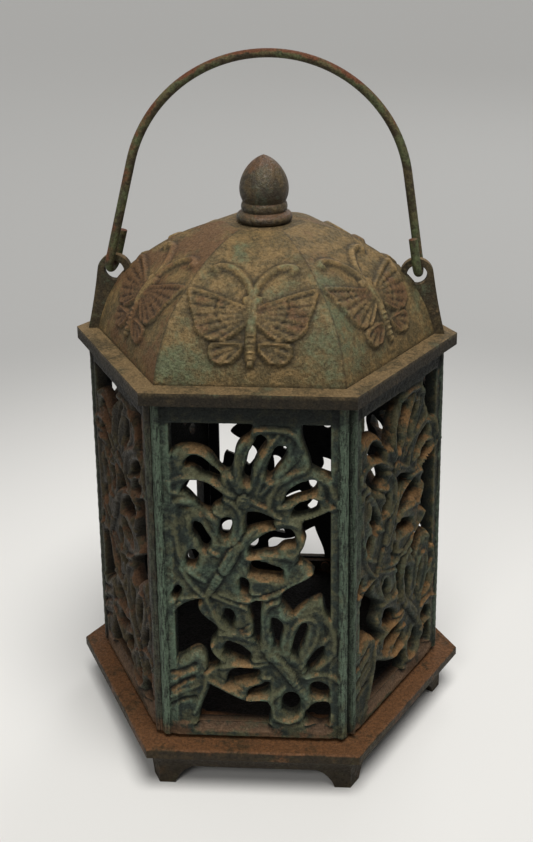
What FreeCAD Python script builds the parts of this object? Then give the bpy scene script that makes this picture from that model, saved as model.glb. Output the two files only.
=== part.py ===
import FreeCAD, Part
import math
import os
from FreeCAD import Vector

# A six-sided cast-iron garden lantern with butterfly openwork. Millimetres, +Z up.
# The origin is on the floor under the lantern's axis. The front panel faces -Y, and the
# two ears and the handle's ends are on the X axis.

# Body
body_radius = 95.0
panel_thickness = 6.5
panel_height = 179.3
panel_joint_gap = 0.25
panel_chamfer_width = 2.6
panel_chamfer_depth = 1.8

# Rails and stiles round the openwork field of a panel
bottom_rail = 6.5
top_rail = 10.2
stile_width = 9.5

# Base: how far its rim and its feet stand out at the corners beyond the panels
base_rim_overhang = 10.6
base_foot_overhang = 1.5
base_height = 25.4
base_rim_height = 5.0
base_rim_round = 1.2
foot_straight = 6.5
cove_out_share = 0.33
cove_up_share = 0.67
base_wall = 5.0
base_floor_thickness = 5.0
plinth_step = 2.3
plinth_inset = 3.0
foot_length = 8.0
arch_end_width = 9.2
arch_height = 10.0
arch_bulge_share = 0.62
candle_pad_radius = 45.0
candle_pad_height = 0.8

# Lips inside the panels, one on the base and one on the roof
lip_thickness = 3.4
lip_height = 6.0
lip_gap = 0.3

# Roof: its flange stands out beyond the panels' corners, and the dome's foot is set back from them
flange_overhang = 5.3
flange_thickness = 6.4
dome_setback = 5.7
dome_rise = 60.5
roof_wall = 5.0
roof_boss_radius = 9.0
roof_boss_depth = 8.0

# Hip of the dome from its foot to its top, as shares of its radius and its rise
dome_shares = [(1.0, 0.0), (0.959, 0.2), (0.853, 0.476), (0.692, 0.68), (0.447, 0.885), (0.234, 0.975)]

# Ears: the foot is set in from the flange's corner, and the waist and the hole from there
ear_thickness = 4.4
ear_foot_inset = 6.8
ear_waist_inset = 3.6
ear_waist_height = 16.6
ear_hole_inset = 14.9
ear_hole_height = 31.9
ear_hole_radius = 5.25
ear_rim = 3.35
ear_outer_angle = 10.0
ear_inner_angle = 165.0

# Finial, its stud, washer and nut
finial_foot_radius = 12.4
finial_ring_radius = 14.35
finial_ring_height = 5.4
finial_groove_radius = 11.4
finial_band_radius = 11.9
finial_band_height = 4.2
finial_groove_height = 0.6
finial_neck_radius = 11.0
finial_bulb_radius = 12.6
finial_bulb_height = 24.0
finial_bulb_shares = [(1.0, 0.3), (0.8, 0.64), (0.37, 0.9)]
stud_radius = 3.0
stud_in_finial = 12.0
stud_hole_spare = 2.0
stud_below_nut = 3.0
stud_hole_gap = 0.3
thread_gap = 0.02
washer_radius = 6.5
washer_thickness = 1.2
nut_across_flats = 10.0
nut_height = 5.0

# Handle
wire_radius = 2.3
hook_outset = 0.1
hook_clearance = 3.7
hook_turn = 7.0
hook_tail_length = 13.5
handle_arch_inset = 7.2
handle_arch_centre_height = 73.2
handle_arch_shift = 2.5

# Screws that hold the panels to the lips
screw_radius = 1.6
screw_hole_gap = 0.2
screw_grip = 4.5
screw_head_radius = 2.6
screw_head_height = 2.0
screw_row_half_span = 28.0
screw_height_on_rail = 3.2

# Door: the front right panel, on two pins
door_end_gap = 0.4
door_swing_gap = 0.35
pin_inset = 9.0
pin_radius = 1.5
pin_fit_gap = 0.05
pin_in_door = 7.0
pin_in_frame = 4.5
pin_hole_spare = 0.4
hinge_notch_gap = 0.5

# Turn button inside the door, with its boss and screw
button_inset = 9.5
button_height = 21.5
button_boss_radius = 3.2
button_boss_length = 4.0
button_run_gap = 0.1
button_hub_radius = 3.8
button_thickness = 2.5
button_reach = 19.0
button_tip_radius = 2.6
button_screw_radius = 1.5
button_bore_gap = 0.06
button_screw_head_radius = 3.0
button_screw_head_height = 2.0
button_screw_grip = 3.8

# One overrun serves all cuts that pass through a face
overrun = 2.0

# Six sides, counted anticlockwise from the front: the door is the next one on the right
side_count = 6
door_turn = 1
panel_names = {0: "panel_front", 2: "panel_rear_right", 3: "panel_rear", 4: "panel_rear_left",
               5: "panel_front_left"}
side_angle = 360.0 / side_count
half_angle = math.radians(side_angle / 2)
flat_share = math.cos(half_angle)
mitre_share = math.tan(half_angle)

# Sizes and places that follow from the sizes above
base_rim_radius = body_radius + base_rim_overhang
base_foot_radius = body_radius + base_foot_overhang
flange_radius = body_radius + flange_overhang
dome_radius = body_radius - dome_setback
ear_foot_x = flange_radius - ear_foot_inset
ear_waist_x = ear_foot_x - ear_waist_inset
ear_hole_x = ear_foot_x - ear_hole_inset
hook_x = ear_hole_x + hook_outset
handle_arch_radius = hook_x - handle_arch_inset
body_face = body_radius * flat_share
panel_back = body_face - panel_thickness
field_width = body_radius - 2 * stile_width
field_height = panel_height - bottom_rail - top_rail
plinth_top = base_height + plinth_step
flange_low = plinth_top + panel_height
flange_top = flange_low + flange_thickness
lip_face = panel_back - lip_gap
lip_back = lip_face - lip_thickness
dome_face = dome_radius * flat_share
ear_hole_z = flange_top + ear_hole_height
hook_radius = hook_clearance + wire_radius
door_height = panel_height - 2 * door_end_gap
door_low = plinth_top + door_end_gap
door_top = door_low + door_height
pin_x = pin_inset - body_radius / 2
pin_depth = panel_thickness / 2
button_x = body_radius / 2 - button_inset

# Holes inside wings and loops, as shares of the openwork field from its lower left corner
wing_hole_shares = {
    "top_antenna_loop": [(0.155, 0.896), (0.209, 0.887), (0.268, 0.862), (0.314, 0.838), (0.304, 0.823),
                         (0.261, 0.827), (0.192, 0.838), (0.133, 0.858), (0.088, 0.864), (0.102, 0.884)],
    "middle_antenna_loop": [(0.336, 0.699), (0.372, 0.695), (0.381, 0.675), (0.367, 0.648), (0.337, 0.629),
                            (0.309, 0.636), (0.291, 0.659), (0.304, 0.685)],
    "middle_left_wing": [(0.147, 0.685), (0.182, 0.678), (0.215, 0.652), (0.244, 0.627), (0.234, 0.604),
                         (0.211, 0.593), (0.179, 0.601), (0.155, 0.626), (0.122, 0.651), (0.126, 0.671)],
    "middle_left_wing_eye": [(0.125, 0.593), (0.155, 0.587), (0.164, 0.574), (0.152, 0.552), (0.122, 0.541),
                             (0.089, 0.545), (0.080, 0.562), (0.097, 0.585)],
    "top_upper_wing_left": [(0.577, 0.960), (0.605, 0.948), (0.570, 0.917), (0.531, 0.883), (0.508, 0.846),
                            (0.487, 0.817), (0.455, 0.827), (0.462, 0.861), (0.482, 0.900), (0.523, 0.937)],
    "top_upper_wing_right": [(0.688, 0.931), (0.723, 0.926), (0.725, 0.906), (0.704, 0.883), (0.658, 0.854),
                             (0.617, 0.834), (0.597, 0.840), (0.601, 0.862), (0.622, 0.889), (0.646, 0.916)],
    "top_right_wing_upper": [(0.867, 0.824), (0.912, 0.820), (0.911, 0.801), (0.880, 0.783), (0.817, 0.772),
                             (0.752, 0.760), (0.712, 0.754), (0.716, 0.772), (0.752, 0.797), (0.809, 0.815)],
    "top_right_wing_lower": [(0.858, 0.763), (0.909, 0.762), (0.923, 0.754), (0.917, 0.732), (0.881, 0.719),
                             (0.830, 0.712), (0.775, 0.710), (0.760, 0.716), (0.769, 0.737), (0.811, 0.756)],
    "middle_right_wing": [(0.697, 0.666), (0.768, 0.653), (0.770, 0.621), (0.705, 0.613), (0.655, 0.593),
                          (0.575, 0.586), (0.494, 0.583), (0.480, 0.594), (0.525, 0.626), (0.616, 0.656)],
    "middle_low_wing": [(0.523, 0.561), (0.581, 0.555), (0.648, 0.544), (0.696, 0.532), (0.690, 0.510),
                        (0.655, 0.508), (0.592, 0.511), (0.531, 0.514), (0.485, 0.529), (0.492, 0.552)],
    "middle_low_wing_eye": [(0.433, 0.505), (0.471, 0.494), (0.481, 0.467), (0.466, 0.451), (0.427, 0.461),
                            (0.418, 0.488)],
    "stile_eye": [(0.022, 0.474), (0.047, 0.465), (0.033, 0.440), (0.006, 0.428), (-0.019, 0.437),
                  (-0.006, 0.461)],
    "tail_wing": [(0.331, 0.399), (0.364, 0.393), (0.385, 0.373), (0.375, 0.349), (0.356, 0.337),
                  (0.336, 0.345), (0.307, 0.368), (0.315, 0.389)],
    "low_left_wing_upper": [(0.347, 0.287), (0.397, 0.278), (0.459, 0.259), (0.486, 0.240), (0.474, 0.220),
                            (0.431, 0.216), (0.384, 0.225), (0.339, 0.235), (0.307, 0.248), (0.316, 0.275)],
    "low_left_wing_middle": [(0.433, 0.198), (0.495, 0.196), (0.540, 0.186), (0.535, 0.169), (0.497, 0.156),
                             (0.434, 0.149), (0.370, 0.141), (0.326, 0.146), (0.334, 0.171), (0.369, 0.191)],
    "low_left_wing_lower": [(0.566, 0.144), (0.603, 0.145), (0.605, 0.134), (0.589, 0.117), (0.538, 0.105),
                            (0.484, 0.099), (0.455, 0.098), (0.459, 0.108), (0.476, 0.121), (0.520, 0.134)],
    "low_antenna_loop": [(0.628, 0.371), (0.664, 0.364), (0.695, 0.341), (0.688, 0.315), (0.674, 0.289),
                         (0.662, 0.270), (0.637, 0.277), (0.628, 0.300), (0.614, 0.329), (0.615, 0.355)],
    "low_right_wing_upper": [(0.836, 0.356), (0.848, 0.345), (0.843, 0.318), (0.824, 0.288), (0.796, 0.258),
                             (0.775, 0.239), (0.747, 0.248), (0.751, 0.274), (0.768, 0.304), (0.795, 0.336)],
    "low_right_wing_lower": [(0.953, 0.279), (0.958, 0.271), (0.954, 0.248), (0.928, 0.226), (0.887, 0.201),
                             (0.850, 0.192), (0.842, 0.199), (0.847, 0.223), (0.876, 0.246), (0.916, 0.271)],
    "low_tail_eye": [(0.909, 0.154), (0.958, 0.148), (0.992, 0.128), (0.988, 0.106), (0.958, 0.100),
                     (0.900, 0.105), (0.868, 0.120), (0.872, 0.145)],
    "tail_ring": [(0.742, 0.115), (0.780, 0.108), (0.801, 0.088), (0.801, 0.066), (0.780, 0.045),
                  (0.741, 0.035), (0.702, 0.043), (0.681, 0.062), (0.681, 0.084), (0.702, 0.106)],
}

# Gaps between the wings and the frame: strokes that meet at corners, as shares of the same field
gap_shares = {
    "top_left": [[(0.0, 1.0), (0.517, 1.0)],
                 [(0.517, 1.0), (0.518, 0.988), (0.503, 0.963), (0.447, 0.943), (0.422, 0.927),
                  (0.408, 0.908), (0.387, 0.857), (0.375, 0.848)],
                 [(0.375, 0.848), (0.353, 0.845), (0.333, 0.849), (0.250, 0.900), (0.214, 0.912),
                  (0.173, 0.919), (0.130, 0.922), (0.086, 0.921), (0.0, 0.903)],
                 [(0.0, 0.903), (0.0, 1.0)]],
    "under_top_loop": [[(0.253, 0.718), (0.222, 0.720), (0.187, 0.730), (0.112, 0.770), (0.070, 0.786)],
                       [(0.070, 0.786), (0.085, 0.805), (0.175, 0.819), (0.219, 0.813), (0.259, 0.802),
                        (0.302, 0.784), (0.328, 0.768), (0.318, 0.751), (0.277, 0.737), (0.253, 0.718)]],
    "under_top_head": [[(0.649, 0.696), (0.642, 0.676)],
                       [(0.642, 0.676), (0.575, 0.673), (0.527, 0.667), (0.463, 0.655)],
                       [(0.463, 0.655), (0.461, 0.687), (0.474, 0.717)],
                       [(0.474, 0.717), (0.503, 0.720), (0.523, 0.720), (0.649, 0.696)]],
    "top_right": [[(1.0, 1.0), (1.0, 0.837)],
                  [(1.0, 0.837), (0.939, 0.847), (0.871, 0.865)],
                  [(0.871, 0.865), (0.860, 0.892), (0.822, 0.946), (0.816, 0.984), (0.822, 1.0)],
                  [(0.822, 1.0), (1.0, 1.0)]],
    "right": [[(1.0, 0.731), (1.0, 0.372)],
              [(1.0, 0.372), (0.971, 0.384), (0.962, 0.391), (0.949, 0.424), (0.935, 0.439)],
              [(0.935, 0.439), (0.845, 0.417), (0.753, 0.377)],
              [(0.753, 0.377), (0.681, 0.426)],
              [(0.681, 0.426), (0.687, 0.450), (0.789, 0.490), (0.873, 0.514), (0.894, 0.524)],
              [(0.894, 0.524), (0.842, 0.550), (0.794, 0.563)],
              [(0.794, 0.563), (0.799, 0.585), (0.836, 0.630), (0.816, 0.658), (0.825, 0.687),
               (0.842, 0.696)],
              [(0.842, 0.696), (0.920, 0.711), (1.0, 0.731)]],
    "left": [[(0.170, 0.428), (0.237, 0.350), (0.272, 0.328), (0.260, 0.302), (0.222, 0.272),
              (0.237, 0.250), (0.277, 0.227)],
             [(0.277, 0.227), (0.265, 0.201), (0.237, 0.194), (0.198, 0.190)],
             [(0.198, 0.190), (0.197, 0.221), (0.189, 0.234), (0.172, 0.245), (0.145, 0.253),
              (0.094, 0.245), (0.033, 0.225), (0.0, 0.222)],
             [(0.0, 0.222), (0.0, 0.385)],
             [(0.0, 0.385), (0.015, 0.393), (0.170, 0.428)]],
    "beside_tail_wing": [[(0.564, 0.429), (0.552, 0.389), (0.548, 0.307), (0.539, 0.283)],
                         [(0.539, 0.283), (0.516, 0.292), (0.504, 0.304), (0.501, 0.350), (0.480, 0.398),
                          (0.494, 0.422), (0.522, 0.429), (0.564, 0.429)]],
    "bottom": [[(0.215, 0.136), (0.261, 0.126), (0.339, 0.101), (0.397, 0.086), (0.466, 0.080),
                (0.584, 0.080), (0.605, 0.070), (0.612, 0.056), (0.596, 0.0)],
               [(0.596, 0.0), (0.132, 0.0)],
               [(0.132, 0.0), (0.148, 0.046), (0.196, 0.105), (0.215, 0.136)]],
    "bottom_right": [[(0.985, 0.007), (0.905, 0.0), (0.867, 0.009), (0.833, 0.024)],
                     [(0.833, 0.024), (0.838, 0.053), (0.912, 0.080), (0.948, 0.084), (0.969, 0.083),
                      (0.990, 0.077), (1.0, 0.063), (1.0, 0.031), (0.985, 0.007)]],
}


def edge_through(points):
    """A straight line through two points, an arc through three, a smooth curve through more."""
    if len(points) == 2:
        return Part.LineSegment(points[0], points[1]).toShape()
    if len(points) == 3:
        return Part.Arc(points[0], points[1], points[2]).toShape()
    curve = Part.BSplineCurve()
    curve.interpolate(points)
    return curve.toShape()


def face_of(strokes):
    return Part.Face(Part.Wire([edge_through(stroke) for stroke in strokes]))


def turned(shape, angle):
    """A copy turned about the lantern's axis."""
    copy = shape.copy()
    copy.rotate(Vector(0, 0, 0), Vector(0, 0, 1), angle)
    return copy


def six_sided(strokes):
    """A six-sided solid. Each stroke lists (distance from the axis to a flat side, height)."""
    right = [[Vector(0, face, height) for face, height in stroke] for stroke in strokes]
    left = [[Vector(0, -point.y, point.z) for point in reversed(stroke)] for stroke in reversed(right)]
    loop = right
    if (right[-1][-1] - left[0][0]).Length > 0:
        loop = loop + [[right[-1][-1], left[0][0]]]
    loop = loop + left + [[left[-1][-1], right[0][0]]]
    reach = max(face for stroke in strokes for face, height in stroke) * 2
    bar = face_of(loop).extrude(Vector(2 * reach, 0, 0))
    bar.translate(Vector(-reach, 0, 0))
    return bar.common(turned(bar, side_angle)).common(turned(bar, 2 * side_angle))


def hexagon(face, low, high):
    return six_sided([[(face, low), (face, high)]])


def cylinder(radius, length, start, direction):
    return Part.makeCylinder(radius, length, start, direction)


def on_panel(x, depth, height):
    """A point of the front panel: along it, inwards from its face, and above its lower edge."""
    return Vector(x, depth - body_face, plinth_top + height)


def on_field(shares):
    return on_panel((shares[0] - 1 / 2) * field_width, 0, bottom_rail + shares[1] * field_height)


def through_panel(face):
    """The tool that cuts a face's outline right through the front panel."""
    tool = face.extrude(Vector(0, panel_thickness + 2 * overrun, 0))
    tool.translate(Vector(0, -overrun, 0))
    return tool


def openwork_tools():
    tools = []
    for shares in wing_hole_shares.values():
        curve = Part.BSplineCurve()
        curve.interpolate([on_field(point) for point in shares], PeriodicFlag=True)
        tools.append(through_panel(Part.Face(Part.Wire(curve.toShape()))))
    for strokes in gap_shares.values():
        tools.append(through_panel(face_of([[on_field(point) for point in stroke] for stroke in strokes])))
    return tools


def panel_end(side):
    """Plan of a plain upright edge: chamfered in front, then mitred at half the corner's angle."""
    front = body_radius / 2 - panel_joint_gap / flat_share
    return [(side * (front - panel_chamfer_width), 0),
            (side * (front - panel_chamfer_depth * mitre_share), panel_chamfer_depth),
            (side * (front - panel_thickness * mitre_share), panel_thickness)]


def plate(plan_strokes, low, height):
    strokes = [[Vector(x, depth - body_face, low) for x, depth in stroke] for stroke in plan_strokes]
    return face_of(strokes).extrude(Vector(0, 0, height))


def joined(points):
    return [[first, second] for first, second in zip(points, points[1:] + points[:1])]


def screw_places():
    low = screw_height_on_rail
    high = panel_height - screw_height_on_rail
    return {"base": [(side * screw_row_half_span, low) for side in (-1, 1)],
            "roof": [(side * screw_row_half_span, high) for side in (-1, 1)]}


def fixed_panel():
    solid = plate(joined(panel_end(-1) + panel_end(1)[::-1]), plinth_top, panel_height)
    tools = openwork_tools()
    for x, height in screw_places()["base"] + screw_places()["roof"]:
        start = on_panel(x, panel_thickness - screw_grip, height)
        tools.append(cylinder(screw_radius + thread_gap, screw_grip + overrun, start, Vector(0, 1, 0)))
    return solid.cut(tools)


def door_panel():
    """The same casting, with its hinge edge rounded about the pins and a boss for the turn button."""
    room = (pin_inset - pin_depth * mitre_share) * flat_share + panel_joint_gap
    edge_radius = room - door_swing_gap
    reach = math.sqrt(edge_radius ** 2 - pin_depth ** 2)
    front, back = (pin_x - reach, 0), (pin_x - reach, panel_thickness)
    free = panel_end(1)
    rounded = [back, (pin_x - edge_radius, pin_depth), front]
    solid = plate([rounded, [front, free[0]], [free[0], free[1]], [free[1], free[2]], [free[2], back]],
                  door_low, door_height)
    solid = solid.cut(openwork_tools())
    boss_low = on_panel(button_x, panel_thickness, button_height)
    solid = solid.fuse(cylinder(button_boss_radius, button_boss_length, boss_low, Vector(0, 1, 0)))
    solid = solid.removeSplitter()
    return solid.cut([cylinder(pin_radius + thread_gap, pin_in_door, pin_point(door_low), Vector(0, 0, 1)),
                      cylinder(pin_radius + thread_gap, pin_in_door, pin_point(door_top), Vector(0, 0, -1)),
                      cylinder(button_screw_radius + thread_gap, button_screw_grip + overrun,
                               button_seat() - Vector(0, button_screw_grip, 0), Vector(0, 1, 0))])


def pin_point(height):
    return Vector(pin_x, pin_depth - body_face, height)


def button_seat():
    """The centre of the boss's free end, on which the turn button turns."""
    return on_panel(button_x, panel_thickness + button_boss_length, button_height)


def hinge_pin(door_edge, direction):
    """A plain pin, fixed in the door's edge and turning in the base or the roof."""
    start = pin_point(door_edge) - Vector(0, 0, direction * pin_in_door)
    length = pin_in_door + door_end_gap + pin_in_frame
    return cylinder(pin_radius, length, start, Vector(0, 0, direction))


def pin_hole(face_height, direction):
    start = pin_point(face_height) - Vector(0, 0, direction * overrun)
    return cylinder(pin_radius + pin_fit_gap, overrun + pin_in_frame + pin_hole_spare, start,
                    Vector(0, 0, direction))


def turn_button():
    """A flat lever that lies level here and hangs behind the base's lip when it is turned down."""
    seat = button_seat() + Vector(0, button_run_gap, 0)
    tip = seat - Vector(button_reach - button_tip_radius, 0, 0)
    inward = Vector(0, 1, 0)
    hub = cylinder(button_hub_radius, button_thickness, seat, inward)
    end = cylinder(button_tip_radius, button_thickness, tip, inward)
    corners = [seat - Vector(0, 0, button_hub_radius), tip - Vector(0, 0, button_tip_radius),
               tip + Vector(0, 0, button_tip_radius), seat + Vector(0, 0, button_hub_radius)]
    arm = face_of(joined(corners)).extrude(Vector(0, button_thickness, 0))
    bore = cylinder(button_screw_radius + button_bore_gap, button_thickness + 2 * overrun,
                    seat - Vector(0, overrun, 0), inward)
    return hub.fuse([end, arm]).removeSplitter().cut(bore)


def button_screw():
    shank_length = button_screw_grip + button_thickness + 2 * button_run_gap
    start = button_seat() - Vector(0, button_screw_grip, 0)
    shank = cylinder(button_screw_radius, shank_length, start, Vector(0, 1, 0))
    head = cylinder(button_screw_head_radius, button_screw_head_height, start + Vector(0, shank_length, 0),
                    Vector(0, 1, 0))
    return shank.fuse(head).removeSplitter()


def panel_screws(which):
    """The screws of one lip: two for each of the five fixed panels, driven from inside."""
    screws = []
    for turn in panel_names:
        for x, height in screw_places()[which]:
            tip = on_panel(x, panel_thickness - screw_grip, height)
            length = screw_grip + lip_gap + lip_thickness
            shank = cylinder(screw_radius, length, tip, Vector(0, 1, 0))
            head = cylinder(screw_head_radius, screw_head_height, tip + Vector(0, length, 0), Vector(0, 1, 0))
            screws.append(turned(shank.fuse(head).removeSplitter(), turn * side_angle))
    return Part.makeCompound(screws)


def lip_tools(which, lip_centre):
    """Screw holes through a lip, and the notch that lets the door's hinge edge swing in."""
    tools = []
    for turn in panel_names:
        for x, height in screw_places()[which]:
            start = on_panel(x, panel_thickness - overrun, height)
            hole = cylinder(screw_radius + screw_hole_gap, lip_gap + lip_thickness + 2 * overrun, start,
                            Vector(0, 1, 0))
            tools.append(turned(hole, turn * side_angle))
    notch_radius = pin_inset * flat_share + hinge_notch_gap
    start = pin_point(lip_centre - lip_height / 2)
    tools.append(turned(cylinder(notch_radius, lip_height, start, Vector(0, 0, 1)), door_turn * side_angle))
    return tools


def base_casting():
    foot = base_foot_radius * flat_share
    rim = base_rim_radius * flat_share
    rim_low = base_height - base_rim_height
    cove_middle = (foot + (rim - foot) * cove_out_share,
                   foot_straight + (rim_low - foot_straight) * cove_up_share)
    round_share = 1 - math.sqrt(1 / 2)
    shoulder = (rim - base_rim_round * round_share, base_height - base_rim_round * round_share)
    solid = six_sided([[(foot, 0), (foot, foot_straight)],
                       [(foot, foot_straight), cove_middle, (rim, rim_low)],
                       [(rim, rim_low), (rim, base_height - base_rim_round)],
                       [(rim, base_height - base_rim_round), shoulder, (rim - base_rim_round, base_height)]])
    plinth = hexagon(body_face - plinth_inset, base_height - overrun, plinth_top)
    lip = hexagon(lip_face, base_height, plinth_top + lip_height)
    lip = lip.cut(hexagon(lip_back, plinth_top, plinth_top + lip_height + overrun))
    lip = lip.cut(lip_tools("base", plinth_top + lip_height / 2))
    pad = cylinder(candle_pad_radius, plinth_step + candle_pad_height, Vector(0, 0, base_height),
                   Vector(0, 0, 1))
    solid = solid.fuse([plinth, lip, pad]).removeSplitter()
    hollow = hexagon(foot - base_wall, -overrun, base_height - base_floor_thickness)
    tools = [hollow, turned(pin_hole(plinth_top, -1), door_turn * side_angle)]
    for turn in range(side_count // 2):
        tools.append(turned(arch_tool(), turn * side_angle))
    return solid.cut(tools)


def arch_tool():
    """The low arch between two bracket feet, cut through the front and the back at once."""
    foot_end = base_foot_radius / 2 - foot_length
    flat_end = foot_end - arch_end_width
    bulge = (flat_end + arch_end_width * arch_bulge_share, arch_height * arch_bulge_share)
    right = [[(foot_end, 0), bulge, (flat_end, arch_height)]]
    left = [[(-x, height) for x, height in reversed(right[0])]]
    top = [[(flat_end, arch_height), (-flat_end, arch_height)]]
    low = [[(-foot_end, 0), (-foot_end, -overrun)], [(-foot_end, -overrun), (foot_end, -overrun)],
           [(foot_end, -overrun), (foot_end, 0)]]
    outline = right + top + left + low
    strokes = [[Vector(x, -base_rim_radius, height) for x, height in stroke] for stroke in outline]
    return face_of(strokes).extrude(Vector(0, 2 * base_rim_radius, 0))


def dome(face, low, rise):
    """The curved roof, with a flat on top, from the shares of its hip."""
    return six_sided([[(face * across, low + rise * up) for across, up in dome_shares]])


def ear():
    """The right ear: a fin that grows out of the hip and is rounded about its hole."""
    rim = ear_hole_radius + ear_rim

    def round_hole(angle):
        turn = math.radians(angle)
        return (ear_hole_x + rim * math.cos(turn), ear_hole_z + rim * math.sin(turn))

    crown = [round_hole(ear_outer_angle), round_hole((ear_outer_angle + ear_inner_angle) / 2),
             round_hole(ear_inner_angle)]
    foot = (ear_foot_x, flange_top)
    waist = (ear_waist_x, flange_top + ear_waist_height)
    root = (dome_radius / 2, flange_low)
    strokes = [[foot, waist, crown[0]], crown, [crown[2], root], [root, (ear_foot_x, flange_low)],
               [(ear_foot_x, flange_low), foot]]
    outline = [[Vector(x, -ear_thickness / 2, height) for x, height in stroke] for stroke in strokes]
    return face_of(outline).extrude(Vector(0, ear_thickness, 0))


def roof_casting():
    lip = hexagon(lip_face, flange_low - lip_height, flange_low + overrun)
    lip = lip.cut(lip_tools("roof", flange_low - lip_height / 2))
    flange = hexagon(flange_radius * flat_share, flange_low, flange_top)
    seat_z = finial_seat_z()
    outer = dome(dome_face, flange_top, dome_rise)
    solid = outer.fuse([flange, lip, ear(), turned(ear(), 180)])
    mouth = hexagon(lip_back, flange_low - lip_height - overrun, flange_top + overrun)
    cavity = dome(dome_face - roof_wall, flange_top, dome_rise - roof_wall).fuse(mouth)
    boss = cylinder(roof_boss_radius, roof_boss_depth, Vector(0, 0, seat_z), Vector(0, 0, -1))
    solid = solid.cut(cavity.cut(boss))
    stud_hole = cylinder(stud_radius + stud_hole_gap, roof_boss_depth + 2 * overrun,
                         Vector(0, 0, seat_z + overrun), Vector(0, 0, -1))
    tools = [stud_hole, turned(pin_hole(flange_low, 1), door_turn * side_angle)]
    for side in (-1, 1):
        start = Vector(side * ear_hole_x, -ear_thickness, ear_hole_z)
        tools.append(cylinder(ear_hole_radius, 2 * ear_thickness, start, Vector(0, 1, 0)))
    return solid.cut(tools).removeSplitter()


def finial_seat_z():
    """The flat on top of the roof."""
    return flange_top + dome_rise * dome_shares[-1][1]


def finial():
    """An acorn knob turned about the axis, with a blind threaded hole from below."""
    foot = finial_seat_z()
    ring_top = foot + finial_ring_height
    band_low = ring_top + finial_groove_height
    band_top = band_low + finial_band_height
    bulb_low = band_top + finial_groove_height
    profile = [[(0, foot), (finial_foot_radius, foot)],
               [(finial_foot_radius, foot), (finial_ring_radius, foot + finial_ring_height / 2),
                (finial_foot_radius, ring_top)],
               [(finial_foot_radius, ring_top), (finial_groove_radius, band_low)],
               [(finial_groove_radius, band_low), (finial_band_radius, (band_low + band_top) / 2),
                (finial_groove_radius, band_top)],
               [(finial_groove_radius, band_top), (finial_neck_radius, bulb_low)]]
    bulb = [(finial_bulb_radius * across, bulb_low + finial_bulb_height * up)
            for across, up in finial_bulb_shares]
    top = bulb_low + finial_bulb_height
    profile.append([(finial_neck_radius, bulb_low)] + bulb + [(0, top)])
    profile.append([(0, top), (0, foot)])
    strokes = [[Vector(radius, 0, height) for radius, height in stroke] for stroke in profile]
    solid = face_of(strokes).revolve(Vector(0, 0, 0), Vector(0, 0, 1), 360)
    hole = cylinder(stud_radius + thread_gap, stud_in_finial + stud_hole_spare + overrun,
                    Vector(0, 0, foot - overrun), Vector(0, 0, 1))
    return solid.cut(hole)


def boss_face_z():
    return finial_seat_z() - roof_boss_depth


def nut_low_z():
    return boss_face_z() - washer_thickness - nut_height


def finial_stud():
    low = nut_low_z() - stud_below_nut
    return cylinder(stud_radius, finial_seat_z() + stud_in_finial - low, Vector(0, 0, low), Vector(0, 0, 1))


def finial_washer():
    top = Vector(0, 0, boss_face_z())
    ring = cylinder(washer_radius, washer_thickness, top, Vector(0, 0, -1))
    return ring.cut(cylinder(stud_radius + stud_hole_gap, washer_thickness, top, Vector(0, 0, -1)))


def finial_nut():
    top = boss_face_z() - washer_thickness
    nut = hexagon(nut_across_flats / 2, nut_low_z(), top)
    return nut.cut(cylinder(stud_radius + thread_gap, nut_height, Vector(0, 0, top), Vector(0, 0, -1)))


def hook_centre_z():
    """Middle of the ear's web above the hole, where the hook of the handle turns."""
    across = hook_x - ear_hole_x
    crown = math.sqrt((ear_hole_radius + ear_rim) ** 2 - across ** 2)
    hole = math.sqrt(ear_hole_radius ** 2 - across ** 2)
    return ear_hole_z + (crown + hole) / 2


def handle_side(side, arch_centre):
    """Tail, hook and leg of one side, and the direction up the leg, which ends where the arch begins."""
    turn = math.radians(hook_turn)
    across = Vector(side * math.sin(turn), side * math.cos(turn), 0)
    centre = Vector(side * hook_x, 0, hook_centre_z())
    to_leg = centre + across * hook_radius - arch_centre
    outward = to_leg / to_leg.Length
    rise = Vector(0, 0, 1) - outward * outward.z
    reach = handle_arch_radius / to_leg.Length
    toward = outward * reach + rise / rise.Length * math.sqrt(1 - reach ** 2)
    touch = arch_centre + toward * handle_arch_radius
    leg_up = touch - centre - across * hook_radius
    leg_up = leg_up / leg_up.Length
    spread = (across - leg_up * across.dot(leg_up)) * hook_radius
    tail_low = centre - spread
    tail_top = tail_low + leg_up * hook_tail_length
    hook_low = centre - leg_up * spread.Length
    leg_low = centre + spread
    return [[tail_top, tail_low], [tail_low, hook_low, leg_low], [leg_low, touch]], leg_up


def handle():
    """One bent wire, whose arch and legs lie in one upright plane through the lantern's axis.

    That plane is turned a little, so that each leg passes one side of its ear. Each end hooks
    through its ear, and its tail stands up on the other side.
    """
    turn = math.radians(hook_turn)
    plane = Vector(hook_x + math.sin(turn) * hook_radius, math.cos(turn) * hook_radius, 0)
    arch_centre = plane / plane.Length * handle_arch_shift
    arch_centre = arch_centre + Vector(0, 0, flange_top + handle_arch_centre_height)
    right, leg_up = handle_side(1, arch_centre)
    left = handle_side(-1, arch_centre)[0]
    apex = arch_centre + Vector(0, 0, handle_arch_radius)
    strokes = right + [[right[-1][-1], apex, left[-1][-1]]] + [stroke[::-1] for stroke in reversed(left)]
    path = Part.Wire([edge_through(stroke) for stroke in strokes])
    section = Part.Wire(Part.Circle(right[0][0], leg_up, wire_radius).toShape())
    return path.makePipeShell([section], True, False)


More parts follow.
